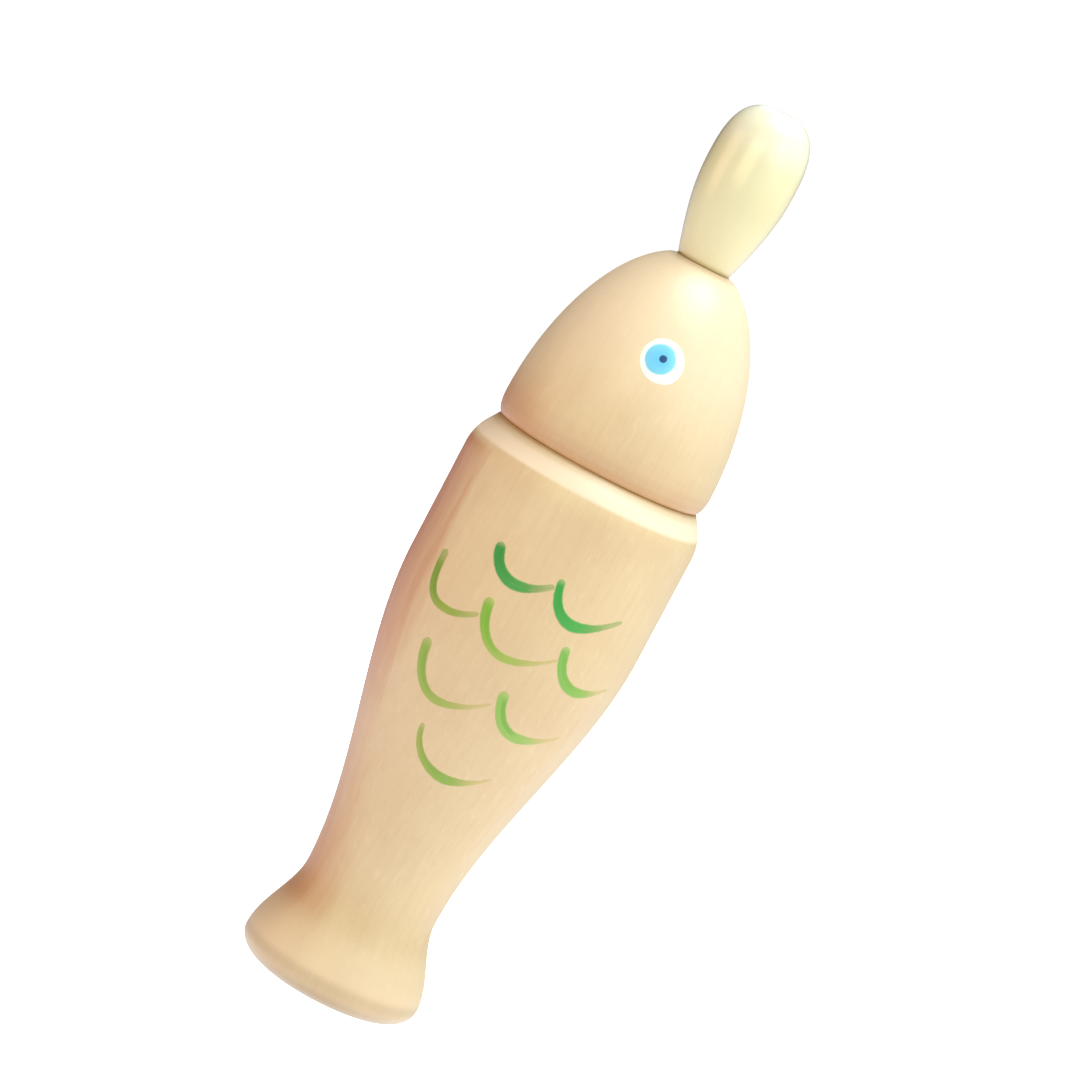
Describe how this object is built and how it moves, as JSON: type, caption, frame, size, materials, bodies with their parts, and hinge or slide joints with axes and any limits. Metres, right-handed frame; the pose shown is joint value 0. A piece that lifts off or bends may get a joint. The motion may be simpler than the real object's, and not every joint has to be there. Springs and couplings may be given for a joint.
{
  "type": "fish-shaped wooden guiro",
  "caption": "Turned wooden fish with a hollow body, rasp cuts across its back, a plug-in head and a knobbed scraper stick kept in its mouth.",
  "frame": {"origin": "middle of the tail end, on the plane the fish stands on", "axes": "+Z along the turned axis from the tail end to the nose; -Y faces the painted flank; +Y faces the rasp"},
  "size_m": [0.051, 0.0511, 0.1992],
  "materials": {
    "body_wood": "fine-sanded unfinished pale wood, satin",
    "head_wood": "fine-sanded unfinished pale wood, satin",
    "stick_wood": "plain dowel, sanded",
    "knob_enamel": "turned knob stained cream, satin lacquer",
    "eye_white": "hand-brushed white paint",
    "eye_blue": "hand-brushed sky-blue paint",
    "eye_navy": "hand-dotted dark blue paint",
    "scale_deep_green": "hand-brushed green paint",
    "scale_olive_green": "hand-brushed olive-green paint",
    "scale_leaf_green": "hand-brushed leaf-green paint"
  },
  "bodies": {
    "fish_body": {"body": "body_wood", "scale_1": "scale_deep_green", "scale_2": "scale_deep_green", "scale_3": "scale_olive_green", "scale_4": "scale_leaf_green", "scale_5": "scale_leaf_green", "scale_6": "scale_leaf_green", "scale_7": "scale_leaf_green", "scale_8": "scale_leaf_green"},
    "fish_head": {"head": "head_wood", "front_eye_white": "eye_white", "front_eye_iris": "eye_blue", "front_eye_pupil": "eye_navy", "back_eye_white": "eye_white", "back_eye_iris": "eye_blue", "back_eye_pupil": "eye_navy"},
    "scraper": {"scraper_stick": "stick_wood", "scraper_knob": "knob_enamel"}
  },
  "joints": [
    {"name": "head_pull", "type": "slide", "parent": "fish_body", "child": "fish_head", "axis": [0, 0, 1], "range_m": [0, 0.02]},
    {"name": "scraper_pull", "type": "slide", "parent": "fish_head", "child": "scraper", "axis": [0, 0, 1], "range_m": [0, 0.1]}
  ]
}
